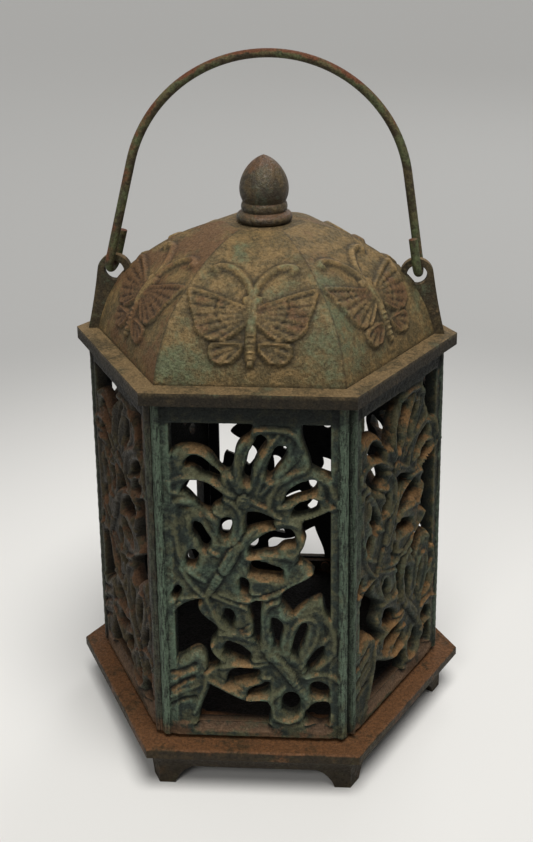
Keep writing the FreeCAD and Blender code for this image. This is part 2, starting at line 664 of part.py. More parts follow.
def build():
    nodes = {"base": base_casting(), "roof": roof_casting()}
    plain = fixed_panel()
    for turn, panel_name in panel_names.items():
        nodes[panel_name] = turned(plain, turn * side_angle)
    door_angle = door_turn * side_angle
    nodes["door_panel"] = turned(door_panel(), door_angle)
    nodes["hinge_pin_top"] = turned(hinge_pin(door_top, 1), door_angle)
    nodes["hinge_pin_bottom"] = turned(hinge_pin(door_low, -1), door_angle)
    nodes["turn_button"] = turned(turn_button(), door_angle)
    nodes["turn_button_screw"] = turned(button_screw(), door_angle)
    nodes["base_screws"] = panel_screws("base")
    nodes["roof_screws"] = panel_screws("roof")
    nodes["finial"] = finial()
    nodes["finial_stud"] = finial_stud()
    nodes["finial_washer"] = finial_washer()
    nodes["finial_nut"] = finial_nut()
    nodes["handle"] = handle()
    return nodes


os.makedirs("parts", exist_ok=True)
for name, shape in build().items():
    shape.exportStep(os.path.join("parts", name + ".step"))
    print(name, "solids", len(shape.Solids), "valid", shape.isValid(), "volume", round(shape.Volume))
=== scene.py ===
import bpy
import math
import numpy as np
from mathutils import Matrix, Vector
from mathutils.bvhtree import BVHTree


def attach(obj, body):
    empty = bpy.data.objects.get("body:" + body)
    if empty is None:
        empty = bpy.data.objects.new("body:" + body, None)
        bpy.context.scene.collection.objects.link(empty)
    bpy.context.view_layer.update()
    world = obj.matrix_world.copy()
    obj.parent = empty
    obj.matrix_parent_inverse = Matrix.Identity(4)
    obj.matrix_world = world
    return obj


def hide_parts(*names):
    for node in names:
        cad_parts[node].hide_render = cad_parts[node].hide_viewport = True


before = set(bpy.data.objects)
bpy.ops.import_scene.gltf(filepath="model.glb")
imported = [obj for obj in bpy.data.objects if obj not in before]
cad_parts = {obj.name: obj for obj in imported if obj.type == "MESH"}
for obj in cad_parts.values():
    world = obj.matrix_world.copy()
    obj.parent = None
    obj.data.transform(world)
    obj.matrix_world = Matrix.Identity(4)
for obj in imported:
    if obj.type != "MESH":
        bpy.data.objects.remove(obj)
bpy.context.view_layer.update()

# The lantern stands on a plain pale floor that fades into a pale grey backdrop. A broad sun, two soft
# lamps and an even sky light it, and the camera looks down at the front panel from a step away.
shown = bpy.context.scene
shown.view_settings.view_transform = "Standard"
picture_wide, picture_tall = 533, 842
focal_length, sight_x, sight_y = 1153.03, 332.10, 232.94
sensor = 36
lens = bpy.data.cameras.new("lantern_view")
lens.sensor_width = sensor
lens.lens = focal_length * sensor / picture_tall
lens.shift_x = (picture_wide / 2 - sight_x) / picture_tall
lens.shift_y = (sight_y - picture_tall / 2) / picture_tall
lens.clip_end = 20
camera = bpy.data.objects.new("lantern_view", lens)
shown.collection.objects.link(camera)
across, ahead, down = (Vector(line) for line in ((0.9991, 0.0415, 0.0030), (-0.0392, 0.9639, -0.2634),
                                                 (0.0138, -0.2631, -0.9647)))
turn = Matrix((across, -down, -ahead)).transposed().to_4x4()
camera.matrix_world = Matrix.Translation((0.05788, -0.56987, 0.42224)) @ turn
shown.camera = camera


def hung_lamp(name, kind, power, colour, place, aim=(0, 0, 0)):
    lamp = bpy.data.lights.new(name, kind)
    lamp.energy = power
    lamp.color = colour
    piece = bpy.data.objects.new(name, lamp)
    piece.location = place
    piece.rotation_euler = (Vector(aim) - Vector(place)).to_track_quat("-Z", "Y").to_euler()
    shown.collection.objects.link(piece)
    return lamp


def place_node(tree, kind, settings=None, inputs=None):
    """Adds a shader node, sets its properties, and feeds its inputs from values or from sockets."""
    node = tree.nodes.new("ShaderNode" + kind)
    for name, value in (settings or {}).items():
        setattr(node, name, value)
    for name, value in (inputs or {}).items():
        if isinstance(value, bpy.types.NodeSocket):
            tree.links.new(value, node.inputs[name])
        else:
            node.inputs[name].default_value = value
    return node


def sums(tree, operation, first, second, third=0.5):
    feeds = {0: first, 1: second, 2: third}
    return place_node(tree, "Math", {"operation": operation}, feeds).outputs[0]


def new_material(name):
    made = bpy.data.materials.new(name)
    made.use_nodes = True
    return made, made.node_tree, made.node_tree.nodes["Principled BSDF"]


def new_piece(name, vertices, faces, material, marks=None, sharp=40):
    """A mesh piece, smooth but for its sharp edges, with its marks as values on its points."""
    mesh = bpy.data.meshes.new(name)
    mesh.from_pydata(np.asarray(vertices, float).tolist(), [], faces)
    mesh.polygons.foreach_set("use_smooth", np.ones(len(mesh.polygons), bool))
    mesh.set_sharp_from_angle(angle=math.radians(sharp))
    for label, values in (marks or {}).items():
        mesh.attributes.new(label, "FLOAT", "POINT").data.foreach_set("value", values.astype(np.float32))
    mesh.materials.append(material)
    piece = bpy.data.objects.new(name, mesh)
    shown.collection.objects.link(piece)
    return piece


warm = (1.0, 0.985, 0.955)
hung_lamp("overhead_light", "SUN", 2.75, warm, (0.22, -0.45, 1.5)).angle = math.radians(32)
for name, power, colour, place, size in (("front_lamp", 8, warm, (-0.45, -1.6, 1.35), 0.7),
                                         ("rear_lamp", 6, (1.0, 1.0, 1.0), (0.5, 1.6, 1.5), 1.0)):
    lamp = hung_lamp(name, "AREA", power, colour, place, (0, 0, 0.2))
    lamp.shape = "DISK"
    lamp.size = size

sky = bpy.data.worlds.new("pale_sky")
shown.world = sky
sky.use_nodes = True
sky_tree = sky.node_tree
sky_tree.nodes.clear()
seen = place_node(sky_tree, "LightPath").outputs
even = place_node(sky_tree, "Background", None, {"Color": (0.99, 0.99, 1.0, 1), "Strength": 0.13})
backdrop = place_node(sky_tree, "Background", None, {"Color": (0.45, 0.45, 0.445, 1)})
blend = place_node(sky_tree, "MixShader", None, {
    0: sums(sky_tree, "MAXIMUM", seen["Is Camera Ray"], seen["Is Glossy Ray"]), 1: even.outputs[0],
    2: backdrop.outputs[0]})
place_node(sky_tree, "OutputWorld", None, {"Surface": blend.outputs[0]})

floor_paint, floor_tree, floor_skin = new_material("floor_paint")
floor_skin.inputs["Roughness"].default_value = 0.8
floor_place = place_node(floor_tree, "TexCoord").outputs["Object"]
far_off = place_node(floor_tree, "VectorMath", {"operation": "LENGTH"}, {0: floor_place}).outputs["Value"]
floor_shade = place_node(floor_tree, "ValToRGB", None, {"Fac": far_off})
floor_shade.color_ramp.interpolation = "EASE"
# White round the lantern, and a pale grey further off, where the floor takes the backdrop's place
for stop, far, colour in zip(floor_shade.color_ramp.elements, (0.14, 0.62),
                             ((0.74, 0.735, 0.72, 1), (0.385, 0.385, 0.38, 1))):
    stop.position = far
    stop.color = colour
floor_tree.links.new(floor_shade.outputs["Color"], floor_skin.inputs["Base Color"])
floor_reach = 14.0
floor = new_piece("floor", [(x * floor_reach, y * floor_reach, 0) for x, y in ((-1, -1), (1, -1), (1, 1), (-1, 1))],
                  [(0, 1, 2, 3)], floor_paint)

# The base is one sand-cast iron piece: a six-sided tray on bracket feet, with a coved side, a
# thick rim and a low plinth on which the panels stand. Its top has gone to orange-brown rust, and is
# painted lighter where it faces up to the light; its sides are darker, with olive and pale specks.


def stretched(tree, value, low, high, kind="SMOOTHSTEP"):
    """A value in which low and high have become 0 and 1."""
    return place_node(tree, "MapRange", {"interpolation_type": kind},
                      {"Value": value, "From Min": low, "From Max": high}).outputs["Result"]


def blotches(tree, where, scale, detail, rough, low, high):
    """Cloudy noise of one size, with low and high stretched to 0 and 1."""
    cloud = place_node(tree, "TexNoise", None, {"Vector": where, "Scale": scale, "Detail": detail,
                                                "Roughness": rough})
    return stretched(tree, cloud.outputs["Fac"], low, high)


def moved(tree, operation, where, by):
    return place_node(tree, "VectorMath", {"operation": operation}, {0: where, 1: by}).outputs[0]


def weighed(tree, start, *shares):
    """A start value, with masks added to it, each times its weight."""
    for mask, weight in shares:
        start = sums(tree, "MULTIPLY_ADD", mask, weight, start)
    return start


def mixed(tree, share, first, second, kind="MIX"):
    node = place_node(tree, "Mix", {"data_type": "RGBA", "blend_type": kind, "clamp_factor": True},
                      {0: share, 6: first, 7: second})
    return node.outputs[2]


patina = bpy.data.node_groups.new("cast_iron_patina", "ShaderNodeTree")
for name, value in (("Ground", (0.02, 0.03, 0.03, 1)), ("Verdigris", (0.1, 0.14, 0.1, 1)),
                    ("Rust", (0.2, 0.1, 0.04, 1)), ("Olive", (0.1, 0.09, 0.05, 1)),
                    ("Bloom", 0.5), ("Rusting", 0.5), ("Topside_Rust_And_Light", 0.0), ("Hollow", 0.0), ("Crest", 0.0),
                    ("Scratch", 0.0), ("Coarseness", 1.0)):
    kind = "NodeSocketColor" if isinstance(value, tuple) else "NodeSocketFloat"
    patina.interface.new_socket(name, in_out="INPUT", socket_type=kind).default_value = value
given = patina.nodes.new("NodeGroupInput").outputs
where = place_node(patina, "VectorMath", {"operation": "SCALE"}, {
    0: place_node(patina, "TexCoord").outputs["Object"], "Scale": given["Coarseness"]}).outputs[0]
elsewhere = moved(patina, "ADD", where, (3.1, 1.7, 2.3))
drawn_out = moved(patina, "MULTIPLY", elsewhere, (1, 1, 0.13))
broad = blotches(patina, where, 34, 4, 0.55, 0.33, 0.67)
patchy = blotches(patina, where, 120, 6, 0.68, 0.32, 0.68)
mottle = blotches(patina, where, 420, 5, 0.7, 0.3, 0.7)
speck = blotches(patina, where, 1500, 3, 0.6, 0.56, 0.72)
pits = blotches(patina, where, 900, 4, 0.65, 0.36, 0.62)
stain = blotches(patina, elsewhere, 60, 5, 0.62, 0.36, 0.66)
drift = blotches(patina, elsewhere, 150, 5, 0.65, 0.38, 0.62)
grit = blotches(patina, elsewhere, 2300, 2, 0.5, 0.5, 0.64)
scratches = sums(patina, "MULTIPLY", blotches(patina, drawn_out, 1100, 3, 0.65, 0.46, 0.6), given["Scratch"])
# Verdigris settles on crests and keeps out of hollows; olive and rust lie on what faces up, partly as
# real rust and partly as painted light from above, and what faces down is painted darker
green = weighed(patina, given["Bloom"], (broad, 0.6), (patchy, 0.5), (mottle, 0.4), (given["Crest"], 0.2),
                (given["Hollow"], -0.3))
green = stretched(patina, green, 0.95, 1.75)
olive = weighed(patina, 0.1, (mottle, 0.25), (drift, 0.6), (given["Crest"], 0.25), (given["Hollow"], -0.2),
                (given["Topside_Rust_And_Light"], 0.6))
olive = stretched(patina, olive, 0.35, 1.1)
brown = weighed(patina, given["Rusting"], (stain, 0.7), (mottle, 0.35), (given["Topside_Rust_And_Light"], 0.75))
brown = stretched(patina, brown, 0.8, 1.3)
colour = mixed(patina, olive, given["Ground"], given["Olive"])
colour = mixed(patina, green, colour, given["Verdigris"])
colour = mixed(patina, brown, colour, given["Rust"])
# Pits, grit and scratches are dark; crests are worn pale and carry a painted highlight; hollows are
# painted dark, partly as dirt and partly as painted shade
shade = weighed(patina, 0.72, (pits, 0.42), (mottle, 0.3), (given["Crest"], 0.4), (grit, -0.4),
                (scratches, -0.95))
shade = sums(patina, "MAXIMUM", shade, 0.1)
# Painted shade: the hollow mask darkens the colour
shade = sums(patina, "MULTIPLY", shade, weighed(patina, 1.0, (given["Hollow"], -0.82)))
tone = place_node(patina, "CombineColor", None, {"Red": shade, "Green": shade, "Blue": shade}).outputs[0]
colour = mixed(patina, 1.0, colour, tone, "MULTIPLY")
fleck = sums(patina, "MULTIPLY", speck, weighed(patina, 0.06, (green, 0.45)))
colour = mixed(patina, fleck, colour, mixed(patina, 0.3, given["Verdigris"], (0.45, 0.45, 0.36, 1)))
made_of = {"Color": colour, "Roughness": weighed(patina, 0.74, (pits, -0.18), (given["Crest"], -0.12)),
           "Height": weighed(patina, 0.0, (pits, 0.75), (mottle, 0.6), (patchy, 0.5))}
patina_out = patina.nodes.new("NodeGroupOutput").inputs
for name, value in made_of.items():
    kind = "NodeSocketColor" if name == "Color" else "NodeSocketFloat"
    patina.interface.new_socket(name, in_out="OUTPUT", socket_type=kind)
    patina.links.new(value, patina_out[name])
sand_grain = 0.00028


def object_place(tree):
    return place_node(tree, "SeparateXYZ", None, {0: place_node(tree, "TexCoord").outputs["Object"]}).outputs


def iron_skin(name, ground, verdigris, rust, olive, bloom, rusting, masks=(), shade_mask=None, topside_rust_and_light=1.0,
              coarseness=1.0, gloss=0.22, dulness=1.0):
    """A material of rusted iron: the patina group, with this piece's own colours and masks.

    What faces up gets more olive and rust, partly real rust and partly painted light from above, and
    what faces down is painted darker; masks names the marks on the mesh that are added, and the
    shade function, if given, builds a mask of painted shade for what lies in shadow.
    """
    made, tree, skin = new_material(name)
    group = tree.nodes.new("ShaderNodeGroup")
    group.node_tree = patina
    for label, value in (("Ground", ground), ("Verdigris", verdigris), ("Rust", rust), ("Olive", olive)):
        group.inputs[label].default_value = (*value, 1)
    group.inputs["Coarseness"].default_value = coarseness
    # Painted light: what faces up gets more olive and rust, partly real rust and partly light from above, and what
    # faces down is painted darker
    normal = tree.nodes.new("ShaderNodeNewGeometry").outputs["Normal"]
    facing_up = place_node(tree, "SeparateXYZ", None, {0: normal}).outputs["Z"]
    upward = place_node(tree, "MapRange", None, {"Value": facing_up, "From Min": -0.6, "From Max": 0.75,
                                                 "To Min": -0.6 * topside_rust_and_light, "To Max": topside_rust_and_light})
    tree.links.new(upward.outputs["Result"], group.inputs["Topside_Rust_And_Light"])
    for label, share in (("Bloom", bloom), ("Rusting", rusting), ("Hollow", 0.0), ("Crest", 0.0),
                         ("Scratch", 0.0)):
        if label.lower() in masks:
            mark = place_node(tree, "Attribute", {"attribute_name": label.lower()}).outputs["Fac"]
            tree.links.new(sums(tree, "ADD", mark, share), group.inputs[label])
        else:
            group.inputs[label].default_value = share
    # Painted shade: the given shade function darkens what lies in shadow, through the hollow input
    if shade_mask:
        tree.links.new(shade_mask(tree, object_place(tree)), group.inputs["Hollow"])
    bump = place_node(tree, "Bump", None, {"Height": group.outputs["Height"], "Distance": sand_grain,
                                           "Strength": 0.9})
    tree.links.new(group.outputs["Color"], skin.inputs["Base Color"])
    tree.links.new(sums(tree, "MULTIPLY", group.outputs["Roughness"], dulness), skin.inputs["Roughness"])
    tree.links.new(bump.outputs["Normal"], skin.inputs["Normal"])
    skin.inputs["Metallic"].default_value = 0.0
    skin.inputs["Specular IOR Level"].default_value = gloss
    return made


def finish_node(node, material):
    """Gives a carried-over CAD piece its material, in its own slots."""
    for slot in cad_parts[node].material_slots:
        slot.material = material


def soften_edges(node):
    """Rounds the sharp edges of a carried-over piece, as sand casting leaves them."""
    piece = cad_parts[node]
    weld = piece.modifiers.new("weld", "WELD")
    weld.merge_threshold = 1e-6
    bevel = piece.modifiers.new("soft_edges", "BEVEL")
    bevel.width = 0.0008
    bevel.segments = 2
    bevel.limit_method = "ANGLE"
    bevel.angle_limit = math.radians(35)
    bevel.harden_normals = True


def shade_inside_panels(tree, place):
    """Painted shade on what lies inside the six panels, by its squared distance from the lantern's axis."""
    from_axis = sums(tree, "MULTIPLY_ADD", place["X"], place["X"], sums(tree, "MULTIPLY", place["Y"], place["Y"]))
    outer, inner = 0.0775, 0.0735
    return sums(tree, "MULTIPLY", stretched(tree, from_axis, outer ** 2, inner ** 2, "LINEAR"), 1.15)


# The base's inside, under the roof, is painted dark as shade
finish_node("base", iron_skin("base_iron", (0.019, 0.013, 0.006), (0.034, 0.033, 0.015), (0.098, 0.043, 0.016),
                              (0.032, 0.021, 0.008), 0.15, 0.1, shade_mask=shade_inside_panels, coarseness=0.75))
soften_edges("base")

# Six panels stand round the plinth, all cast from one openwork pattern of three butterflies and a
# leaf. Five are screwed to the lips of the base and the roof. The holes come from the exact solid,
# and the face is a fine skin of heights over it, with every rim and vein in relief.
face_y = -0.08227
plinth_z = 0.0277
panel_depth, panel_tall = 0.0065, 0.1793
half_wide, back_half_wide = 0.04617, 0.04346
stile_inner = 0.038
field_z, field_tall = plinth_z + 0.0065, 0.1626
cell = 0.00078
cells_across, cells_up = round(2 * half_wide / cell), round(panel_tall / cell)
groove_x, groove_wide, groove_depth = 0.0413, 0.00055, 0.0007
bead_x, bead_half, bead_tall = 0.0436, 0.0022, 0.00035
field_depth, strip_depth = 0.0004, 0.0005
ridge_gain, sunk_gain = 1.45, 1.7
wing_slope, rail_slope, slope_steepness = 0.0034, 0.0042, 0.72
corner_from, bead_from = 0.0415, 0.0409


def ray_tree(mesh):
    return BVHTree.FromPolygons([v.co for v in mesh.vertices], [p.vertices[:] for p in mesh.polygons])


def face_outline(mesh):
    """The edges of a panel's flat front face, as pairs of (x, z) points."""
    mesh.calc_loop_triangles()
    points = np.array([v.co[:] for v in mesh.vertices])
    tris = np.array([tri.vertices[:] for tri in mesh.loop_triangles])
    flat = np.all(np.abs(points[tris][:, :, 1] - face_y) < 2e-5, axis=1)
    spots, same = np.unique(np.round(points[:, (0, 2)] * 1e6).astype(int), axis=0, return_inverse=True)
    same = same.reshape(-1)
    sides = np.vstack([same[tris[flat]][:, pair] for pair in ((0, 1), (1, 2), (2, 0))])
    found, count = np.unique(np.sort(sides, axis=1), axis=0, return_counts=True)
    return spots[found[count == 1]] / 1e6


def distance_to(points, starts, ends):
    """Distance from each point to the nearest of the segments, and the nearest segment's number."""
    best = np.full(len(points), 1e9)
    which = np.zeros(len(points), int)
    along = ends - starts
    length = np.maximum((along ** 2).sum(1), 1e-18)
    for low in range(0, len(points), 4000):
        part = points[low:low + 4000, None, :]
        t = np.clip(((part - starts) * along).sum(2) / length, 0, 1)
        gap = part - starts - t[:, :, None] * along
        gap = (gap ** 2).sum(2)
        best[low:low + 4000] = np.sqrt(gap.min(1))
        which[low:low + 4000] = gap.argmin(1)
    return best, which


def metal_at(x, z):
    """Whether a ray from the front meets the front panel's solid."""
    return probe.ray_cast(Vector((x, face_y - 0.01, z)), Vector((0, 1, 0)), 0.012)[0] is not None


solid_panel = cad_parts["panel_front"].data
probe = ray_tree(solid_panel)
outline = face_outline(solid_panel)
hole_edges = outline[(np.abs(outline[:, :, 0]).max(1) < 0.0435) & (outline[:, :, 1].min(1) > plinth_z + 0.001)
                     & (outline[:, :, 1].max(1) < plinth_z + panel_tall - 0.001)]
# How steeply each hole edge looks up into its hole: 1 where the hole is right above it
edge_run = hole_edges[:, 1] - hole_edges[:, 0]
across_edge = np.stack([-edge_run[:, 1], edge_run[:, 0]], axis=1)
across_edge /= np.maximum(np.linalg.norm(across_edge, axis=1), 1e-12)[:, None]
into_hole = across_edge[:, 1].copy()
for number, place in enumerate(hole_edges.mean(1) + across_edge * 0.00025):
    if metal_at(*place):
        into_hole[number] *= -1

# Raised rims and sunk flutes (with a minus) of the three butterflies and the leaf: width and height
# in millimetres, then the line in thousandths of the openwork field
wing_lines = (
    (2.0, 1.00, ((30, 901), (57, 919), (125, 927), (196, 922), (267, 906), (327, 873), (381, 828), (431, 789))),
    (1.8, 0.80, ((-2, 811), (67, 826), (149, 828), (231, 819), (303, 797), (394, 770))),
    (1.6, 0.80, ((160, 836), (130, 857), (92, 860))),
    (1.6, 0.80, ((-3, 800), (12, 782), (63, 777), (120, 774))),
    (1.5, 0.80, ((503, 756), (559, 742), (616, 733))),
    (1.9, 1.10, ((437, 800), (413, 842), (410, 889), (437, 931), (494, 965), (566, 982), (647, 982), (738, 976),
                 (804, 953), (855, 910), (870, 873))),
    (1.5, 0.70, ((859, 868), (777, 843), (695, 827), (623, 807), (565, 780))),
    (1.5, 0.90, ((488, 790), (512, 817), (558, 870), (615, 923), (677, 965))),
    (1.3, 0.60, ((539, 780), (582, 833), (645, 887), (717, 939))),
    (1.0, -0.45, ((463, 816), (448, 874), (483, 926), (545, 958), (616, 967))),
    (0.8, -0.30, ((728, 955), (697, 908), (645, 866))),
    (0.8, -0.30, ((779, 945), (758, 903), (696, 856))),
    (0.8, -0.30, ((824, 915), (798, 883), (726, 846))),
    (1.9, 1.00, ((611, 738), (627, 776), (674, 813), (747, 838), (824, 854), (890, 863), (956, 846), (992, 812),
                 (1018, 780), (1049, 749))),
    (1.5, 0.70, ((673, 736), (745, 742), (838, 758), (936, 769))),
    (1.5, 0.70, ((1044, 746), (962, 729), (859, 709), (745, 700), (662, 707), (616, 733))),
    (0.8, -0.35, ((931, 822), (962, 796), (977, 764))),
    (0.8, -0.35, ((705, 793), (684, 766), (694, 750))),
    (2.0, 1.00, ((19, 736), (35, 750), (103, 754), (175, 746), (231, 723), (281, 686), (332, 643), (362, 616))),
    (1.6, 0.80, ((24, 731), (20, 683), (27, 628), (44, 574), (84, 536), (140, 509), (197, 493))),
    (1.6, 0.90, ((105, 700), (118, 657), (168, 619), (229, 593), (287, 580))),
    (1.2, -0.50, ((60, 732), (143, 730), (199, 706), (254, 658), (304, 616))),
    (1.7, 0.90, ((274, 737), (311, 756), (373, 754), (424, 725), (448, 682), (431, 644), (388, 617))),
    (1.4, 0.80, ((278, 718), (319, 708), (340, 716))),
    (2.0, 1.10, ((440, 617), (483, 650), (547, 673), (630, 686), (724, 690), (796, 681), (832, 655), (827, 617),
                 (800, 589))),
    (1.6, 0.90, ((481, 582), (576, 591), (659, 596), (691, 599))),
    (1.6, 0.90, ((701, 604), (712, 585), (764, 583), (806, 595))),
    (1.9, 1.00, ((475, 571), (554, 580), (659, 581), (764, 575), (847, 562), (900, 541))),
    (1.6, 0.80, ((900, 538), (847, 510), (763, 484), (667, 455), (550, 433), (423, 429), (296, 450))),
    (1.0, -0.40, ((470, 563), (469, 535), (521, 508), (594, 498))),
    (0.9, -0.35, ((382, 479), (466, 452), (593, 451), (720, 478))),
    (1.3, 0.70, ((415, 507), (414, 485), (466, 457), (551, 453))),
    (1.5, 0.90, ((52, 533), (92, 497), (143, 464), (195, 441))),
    (1.3, 0.70, ((-26, 417), (39, 429), (136, 439), (194, 440))),
    (1.7, 0.90, ((210, 434), (240, 392), (281, 353), (343, 323), (429, 310), (504, 320))),
    (1.5, 0.90, ((253, 443), (316, 430), (390, 417), (464, 402), (504, 374), (515, 325))),
    (0.9, -0.40, ((283, 410), (303, 371), (355, 343), (429, 330), (473, 351))),
    (1.8, 1.00, ((307, 225), (243, 255), (235, 296), (273, 316), (364, 312), (461, 302), (535, 283), (599, 249))),
    (1.5, 0.80, ((308, 254), (351, 248), (372, 229))),
    (1.5, 0.80, ((371, 226), (469, 224), (587, 226))),
    (1.8, 0.90, ((587, 214), (500, 207), (392, 209), (284, 198), (207, 179), (206, 156), (259, 136), (356, 114),
                 (453, 92), (551, 88), (627, 104), (704, 135))),
    (1.4, 0.80, ((325, 152), (412, 153), (521, 164), (607, 168))),
    (1.0, -0.40, ((272, 186), (282, 163), (346, 141), (432, 124))),
    (1.9, 1.00, ((599, 261), (562, 306), (556, 357), (576, 397), (624, 420), (688, 424), (735, 402), (751, 372))),
    (1.4, 0.80, ((676, 387), (708, 371), (745, 366))),
    (1.9, 1.00, ((756, 377), (804, 401), (878, 432), (942, 453))),
    (1.7, 0.90, ((947, 453), (958, 403), (995, 358), (1022, 307), (1022, 256))),
    (1.5, 0.80, ((759, 229), (744, 275), (755, 326), (798, 358), (857, 373), (910, 357), (915, 317), (883, 277),
                 (829, 230))),
    (1.4, 0.80, ((813, 206), (878, 242), (942, 283), (984, 312))),
    (1.4, 0.70, ((829, 192), (910, 202), (974, 226), (1017, 256))),
    (1.5, 0.80, ((845, 172), (931, 182), (1007, 177), (1050, 163))),
    (0.9, -0.35, ((857, 396), (921, 408), (952, 363), (974, 312))),
    (2.0, 1.10, ((671, 119), (616, 92), (610, 56), (648, 24), (713, 13), (790, 27), (844, 60), (844, 90))),
    (1.6, 0.80, ((-2, 226), (81, 247), (147, 271), (185, 266), (193, 220), (196, 173), (182, 126), (147, 78),
                 (111, 36))),
    (1.6, -0.70, ((-27, 179), (44, 186), (122, 207))),
    (1.6, -0.80, ((-36, 120), (31, 142), (108, 160))),
    (1.6, -0.80, ((-35, 64), (38, 83), (115, 90))),
    (1.4, 0.50, ((-35, 146), (43, 165), (131, 184))),
    (1.4, 0.50, ((-38, 93), (40, 112), (139, 132))),
)
# Heads, thoraxes and ringed abdomens: half width, height, rings along it, and the two ends
bodies = (
    (3.4, 1.5, 0, ((456, 755), (460, 755))),
    (3.0, 1.7, 0, ((387, 587), (326, 533))),
    (2.3, 1.5, 6, ((288, 505), (211, 443))),
    (2.2, 1.4, 0, ((430, 612), (403, 600))),
    (2.5, 1.5, 0, ((614, 241), (641, 233))),
    (2.7, 1.7, 0, ((662, 224), (743, 176))),
    (2.3, 1.5, 7, ((737, 173), (861, 90))),
)


def in_field(shares):
    return [((x / 1000 - 0.5) * 2 * stile_inner, field_z + z / 1000 * field_tall) for x, z in shares]


def smooth_run(points, closed=False):
    """A smooth line through points, with a few steps between each two."""
    points = np.array(points, float)
    if closed:
        padded = np.vstack([points[-1:], points, points[:2]])
    else:
        padded = np.vstack([2 * points[0] - points[1], points, 2 * points[-1] - points[-2]])
    t = np.linspace(0, 1, 7)[:-1, None]
    runs = [b + 0.5 * t * (c - a + t * (2 * a - 5 * b + 4 * c - d + t * (3 * (b - c) + d - a)))
            for a, b, c, d in zip(padded, padded[1:], padded[2:], padded[3:])]
    return np.vstack(runs + [padded[-2:-1]])


def swell(distance, width):
    """The rounded section of a raised rim: 1 on its line and 0 at its width."""
    return np.cos(np.clip(distance / width, 0, 1) * math.pi / 2) ** 1.5


def rising(value, over):
    """Goes from 0 to 1 while the value goes from 0 to over."""
    return np.clip(value / over, 0, 1)


def ringed(along, rings):
    """The height of a ringed abdomen, as a share, along its length."""
    return 0.78 + 0.22 * np.cos(along * rings * 2 * math.pi)


def groove(distance, width):
    return np.exp(-(distance / width) ** 2)


def carving(points, gap):
    """Height of the cast face over its flat, in metres, at points (x, z) of a panel."""
    x, z = points.T
    wide = np.abs(x)
    _, lip = distance_to(points, hole_edges[:, 0], hole_edges[:, 1])
    start, run = hole_edges[lip, 0], hole_edges[lip, 1] - hole_edges[lip, 0]
    t = np.clip(((points - start) * run).sum(1) / np.maximum((run ** 2).sum(1), 1e-18), 0, 1)
    upward = (start + t[:, None] * run - points)[:, 1] / np.maximum(gap, 1e-6)
    under_hole = np.where(gap < 0.0002, into_hole[lip], upward)
    fade = 0.0012
    inside = rising(stile_inner - wide, fade) * rising(z - field_z, fade) * rising(field_z + field_tall - z, fade)
    height = -field_depth * inside * (1 + rising(gap - 0.0028, 0.0022))
    # Stile: a sunk strip beside the openwork, a groove, and a rounded bead at the corner
    height -= strip_depth * rising(wide - stile_inner, 0.0008) * rising(groove_x - 0.0001 - wide, 0.0008)
    height -= groove_depth * groove(wide - groove_x, groove_wide)
    height += bead_tall * np.clip(1 - ((wide - bead_x) / bead_half) ** 2, 0, 1)
    ridge = np.zeros(len(points))
    for width, tallness, shares in wing_lines:
        width, line = width / 1000, smooth_run(in_field(shares))
        near = np.all((points > line.min(0) - width) & (points < line.max(0) + width), axis=1)
        away, _ = distance_to(points[near], line[:-1], line[1:])
        rise = swell(away, width * 1.1) * tallness / 1000
        ridge[near] = np.maximum(ridge[near], rise * ridge_gain)
        height[near] += np.minimum(rise, 0) * sunk_gain
    height += ridge
    for half, tallness, rings, ends in bodies:
        first, last = np.array(in_field(ends))
        away, _ = distance_to(points, first[None], last[None])
        length = np.hypot(*(last - first))
        along = ((points - first) @ (last - first)) / length ** 2
        taper = 1 - 0.35 * np.clip(along, 0, 1) * (rings > 0)
        dome = np.sqrt(np.clip(1 - (away / (half / 1000 * taper)) ** 2, 0, 1))
        form = dome * tallness / 1000
        if rings:
            form = form * ringed(along, rings)
        elif length > 0.004:
            form = form - 0.0005 * groove(away, 0.0005)
        elif length < 0.001:
            form = form - 0.0007 * groove(away - 0.0019, 0.0005) - 0.0008 * groove(away, 0.0008)
        height = np.where(dome > 0, np.maximum(height, form - 0.0003), height)
    # Hand-finished pattern and sand: a slow unevenness all over
    height += 0.00012 * np.sin(x * 910 + 1.3 * np.sin(z * 640)) * np.sin(z * 770 + 1.1 * np.sin(x * 530))
    # Wings and feelers are round like cords, with a wide slope up to the hole on its lower side. The
    # bottom rail slopes up to the openwork too, and the rest of the frame has only a small round
    rail = rising(field_z + 0.0004 - z, 0.0008)
    round_off = 0.0009 + 0.0012 * inside + 0.0005 * rail
    drop = 0.0007 + 0.0012 * inside + 0.0008 * rail
    height -= drop * (1 - np.sqrt(1 - rising(round_off - gap, round_off) ** 2))
    slope_wide = (wing_slope * inside + rail_slope * rail) * np.clip(under_hole * 1.3, 0, 1)
    slope_share = np.clip(1 - gap / np.maximum(slope_wide, 1e-6), 0, 1) * (slope_wide > 0.0004)
    return height - slope_share * slope_wide * slope_steepness


